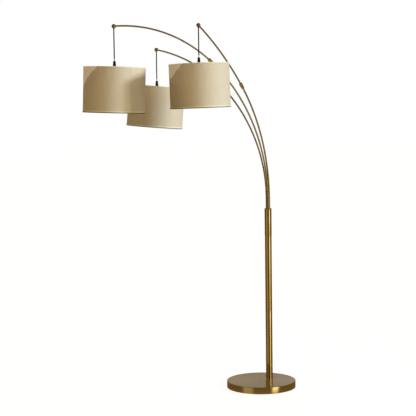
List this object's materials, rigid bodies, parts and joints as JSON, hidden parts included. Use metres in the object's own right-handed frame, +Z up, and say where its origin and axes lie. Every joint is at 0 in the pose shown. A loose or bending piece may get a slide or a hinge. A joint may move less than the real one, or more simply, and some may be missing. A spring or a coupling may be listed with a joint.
{
  "type": "arc floor lamp",
  "caption": "Tall arc floor lamp: a round weighted base, a straight pole, and bent tube arms that fan out and each hang a fabric drum shade on a short cord.",
  "frame": {"origin": "on the floor, under the base's centre, on the base pad's flat underside", "axes": "+Z up along the pole; the arms reach over towards -X and fan out to both sides of it; the pole stands off-centre on the base, towards +X and +Y"},
  "size_m": [1.1729, 1.1188, 2.1138],
  "materials": {
    "antique_brass": "brushed antique brass with dark edges and a satin sheen",
    "turned_brass": "brass, finely turned in rings, satin",
    "cast_stone": "rough cast",
    "felt_pad": "matt black non-slip pad",
    "steel": "zinc plated",
    "black_plastic": "satin black moulding",
    "clear_plastic": "clear, slightly milky",
    "cord_sheath": "dark grey sheathed cord",
    "shade_fabric": "champagne linen weave with a hem tape round each edge",
    "shade_wire": "white painted wire",
    "bulb_glass": "frosted glass",
    "screw_metal": "bright"
  },
  "bodies": {
    "stand": {"base_cover": "turned_brass", "base_weight": "cast_stone", "base_pad": "felt_pad", "cord_grommet": "black_plastic", "pole_stud": "steel", "pole_nut": "steel", "pole_washer": "steel", "pole_lower": "antique_brass", "pole_upper": "antique_brass", "pole_coupler": "steel", "arm_holder": "antique_brass", "arm_socket_block": "steel", "holder_cap": "antique_brass"},
    "long_arm": {"long_arm_lower_tube": "antique_brass", "long_arm_sleeve": "antique_brass", "long_arm_upper_tube": "antique_brass", "long_arm_ball": "antique_brass", "long_cord_bushing": "black_plastic"},
    "long_pendant_cord": {"long_cord": "cord_sheath"},
    "long_shade": {"long_cord_grip": "clear_plastic", "long_lampholder_cap": "black_plastic", "long_lampholder": "black_plastic", "long_shade_nut": "black_plastic", "long_bulb": "bulb_glass", "long_bulb_screw": "screw_metal", "long_shade_spider": "shade_wire", "long_shade_drum": "shade_fabric", "long_shade_bottom_ring": "shade_wire"},
    "rear_arm": {"rear_arm_lower_tube": "antique_brass", "rear_arm_sleeve": "antique_brass", "rear_arm_upper_tube": "antique_brass", "rear_arm_ball": "antique_brass", "rear_cord_bushing": "black_plastic"},
    "rear_pendant_cord": {"rear_cord": "cord_sheath"},
    "rear_shade": {"rear_cord_grip": "clear_plastic", "rear_lampholder_cap": "black_plastic", "rear_lampholder": "black_plastic", "rear_shade_nut": "black_plastic", "rear_bulb": "bulb_glass", "rear_bulb_screw": "screw_metal", "rear_shade_spider": "shade_wire", "rear_shade_drum": "shade_fabric", "rear_shade_bottom_ring": "shade_wire"},
    "short_arm": {"short_arm_lower_tube": "antique_brass", "short_arm_sleeve": "antique_brass", "short_arm_upper_tube": "antique_brass", "short_arm_ball": "antique_brass", "short_cord_bushing": "black_plastic"},
    "short_pendant_cord": {"short_cord": "cord_sheath"},
    "short_shade": {"short_cord_grip": "clear_plastic", "short_lampholder_cap": "black_plastic", "short_lampholder": "black_plastic", "short_shade_nut": "black_plastic", "short_bulb": "bulb_glass", "short_bulb_screw": "screw_metal", "short_shade_spider": "shade_wire", "short_shade_drum": "shade_fabric", "short_shade_bottom_ring": "shade_wire"}
  },
  "joints": [
    {"name": "long_arm_swivel", "type": "hinge", "parent": "stand", "child": "long_arm", "pos_m": [0.053, 0.0814, 1.049], "axis": [0, 0, 1], "range_deg": [-20, 0]},
    {"name": "long_cord_swing", "type": "hinge", "parent": "long_arm", "child": "long_pendant_cord", "pos_m": [-0.79501, -0.48629, 2.07784], "axis": [-0.5563, 0.831, 0], "range_deg": [-8, 8]},
    {"name": "long_shade_sway", "type": "hinge", "parent": "long_pendant_cord", "child": "long_shade", "pos_m": [-0.79501, -0.48629, 1.92134], "axis": [-0.831, -0.5563, 0], "range_deg": [-6, 6]},
    {"name": "rear_arm_swivel", "type": "hinge", "parent": "stand", "child": "rear_arm", "pos_m": [0.04469, 0.0958, 1.049], "axis": [0, 0, 1], "range_deg": [-80, 5]},
    {"name": "rear_cord_swing", "type": "hinge", "parent": "rear_arm", "child": "rear_pendant_cord", "pos_m": [-0.59964, 0.29649, 1.9819], "axis": [0.2974, 0.9548, 0], "range_deg": [-12, 12]},
    {"name": "rear_shade_sway", "type": "hinge", "parent": "rear_pendant_cord", "child": "rear_shade", "pos_m": [-0.59964, 0.29649, 1.8254], "axis": [-0.9548, 0.2974, 0], "range_deg": [-6, 6]},
    {"name": "short_arm_swivel", "type": "hinge", "parent": "stand", "child": "short_arm", "pos_m": [0.06131, 0.0958, 1.049], "axis": [0, 0, 1], "range_deg": [0, 60]},
    {"name": "short_cord_swing", "type": "hinge", "parent": "short_arm", "child": "short_pendant_cord", "pos_m": [-0.34132, -0.31107, 2.08831], "axis": [-0.7108, 0.7034, 0], "range_deg": [-2, 8]},
    {"name": "short_shade_sway", "type": "hinge", "parent": "short_pendant_cord", "child": "short_shade", "pos_m": [-0.34132, -0.31107, 1.94081], "axis": [-0.7034, -0.7108, 0], "range_deg": [-6, 6]}
  ]
}
